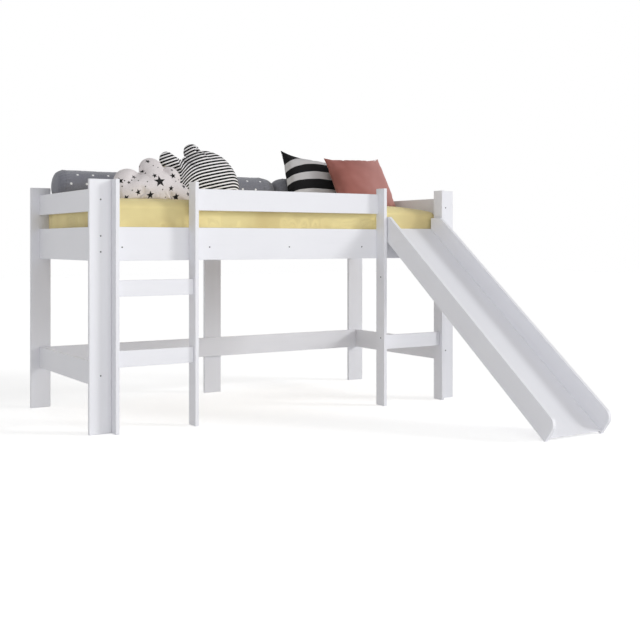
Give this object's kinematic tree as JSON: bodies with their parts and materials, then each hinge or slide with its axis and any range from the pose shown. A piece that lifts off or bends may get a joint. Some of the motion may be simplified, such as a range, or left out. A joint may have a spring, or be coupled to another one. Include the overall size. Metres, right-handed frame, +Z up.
{
  "type": "childrens bed with slide",
  "caption": "Mid-height children's bed in white boards, with a fixed ladder, a straight hook-on slide, guard boards, a slatted base, a mattress, bolsters and loose cushions.",
  "frame": {"origin": "on the floor, below the middle of the whole object's box, slide included", "axes": "+Z up; -Y out of the bed's front, the way the slide runs down; +X to the right as seen from the front, along the bed's length"},
  "size_m": [2.03, 2.1007, 1.361],
  "materials": {
    "lacquer": "white satin lacquer on 18 mm board",
    "bare_wood": "bare planed softwood",
    "steel": "bent strip, satin",
    "yellow_sheet": "pale yellow fitted jersey sheet",
    "grey_dotted_cotton": "grey cotton with small white dots",
    "star_cotton": "pale cotton with dark stars and dots",
    "fine_striped_cotton": "cotton with fine dark and pale stripes",
    "broad_striped_weave": "weave with broad black and pale stripes",
    "rose_velvet": "dusty rose velvet"
  },
  "bodies": {
    "bed_frame": {"corner_board_front_left": "lacquer", "corner_board_front_right": "lacquer", "corner_board_back_left": "lacquer", "corner_board_back_right": "lacquer", "middle_board_back": "lacquer", "ladder_stile_left": "lacquer", "ladder_stile_right": "lacquer", "slide_post_left": "lacquer", "slide_post_right": "lacquer", "side_rail_front": "lacquer", "side_rail_back": "lacquer", "guard_back": "lacquer", "low_rail_back": "lacquer", "end_rail_left": "lacquer", "end_rail_right": "lacquer", "guard_end_left": "lacquer", "guard_end_right": "lacquer", "low_rail_end_left": "lacquer", "low_rail_end_right": "lacquer", "guard_front": "lacquer", "rung_lower": "lacquer", "rung_upper": "lacquer", "rung_slide_bay": "lacquer", "slat_cleat_front": "bare_wood", "slat_cleat_back": "bare_wood", "slat_01": "bare_wood", "slat_02": "bare_wood", "slat_03": "bare_wood", "slat_04": "bare_wood", "slat_05": "bare_wood", "slat_06": "bare_wood", "slat_07": "bare_wood", "slat_08": "bare_wood", "slat_09": "bare_wood", "slat_10": "bare_wood", "slat_11": "bare_wood", "slat_12": "bare_wood", "slat_13": "bare_wood", "slat_14": "bare_wood"},
    "slide": {"slide_panel_left": "lacquer", "slide_panel_right": "lacquer", "slide_chute": "lacquer", "slide_bar_foot": "lacquer", "slide_bar_middle": "lacquer", "slide_bar_top": "lacquer", "slide_hook_left": "steel", "slide_hook_right": "steel"},
    "mattress": {"mattress": "yellow_sheet"},
    "bolster_long": {"bolster_long": "grey_dotted_cotton"},
    "bolster_short": {"bolster_short": "grey_dotted_cotton"},
    "cushion_cloud_stars": {"cushion_cloud_stars": "star_cotton"},
    "cushion_cloud_stripes": {"cushion_cloud_stripes": "fine_striped_cotton"},
    "cushion_square_stripes": {"cushion_square_stripes": "broad_striped_weave"},
    "cushion_square_rose": {"cushion_square_rose": "rose_velvet"}
  },
  "joints": [
    {"name": "slide_lift", "type": "slide", "parent": "bed_frame", "child": "slide", "axis": [0, 0, 1], "range_m": [0, 0.12]},
    {"name": "mattress_lift", "type": "slide", "parent": "bed_frame", "child": "mattress", "axis": [0, 0, 1], "range_m": [0, 0.3]},
    {"name": "bolster_long_lift", "type": "slide", "parent": "mattress", "child": "bolster_long", "axis": [0, 0, 1], "range_m": [0, 0.25]},
    {"name": "bolster_short_lift", "type": "slide", "parent": "mattress", "child": "bolster_short", "axis": [0, 0, 1], "range_m": [0, 0.25]},
    {"name": "cloud_stars_lift", "type": "slide", "parent": "mattress", "child": "cushion_cloud_stars", "axis": [0, 0, 1], "range_m": [0, 0.25]},
    {"name": "cloud_stripes_lift", "type": "slide", "parent": "mattress", "child": "cushion_cloud_stripes", "axis": [0, 0, 1], "range_m": [0, 0.25]},
    {"name": "square_stripes_lift", "type": "slide", "parent": "bolster_short", "child": "cushion_square_stripes", "axis": [0, 0.4695, 0.8829], "range_m": [0, 0.25]},
    {"name": "square_rose_lift", "type": "slide", "parent": "cushion_square_stripes", "child": "cushion_square_rose", "axis": [0, 0, 1], "range_m": [0, 0.25]}
  ]
}
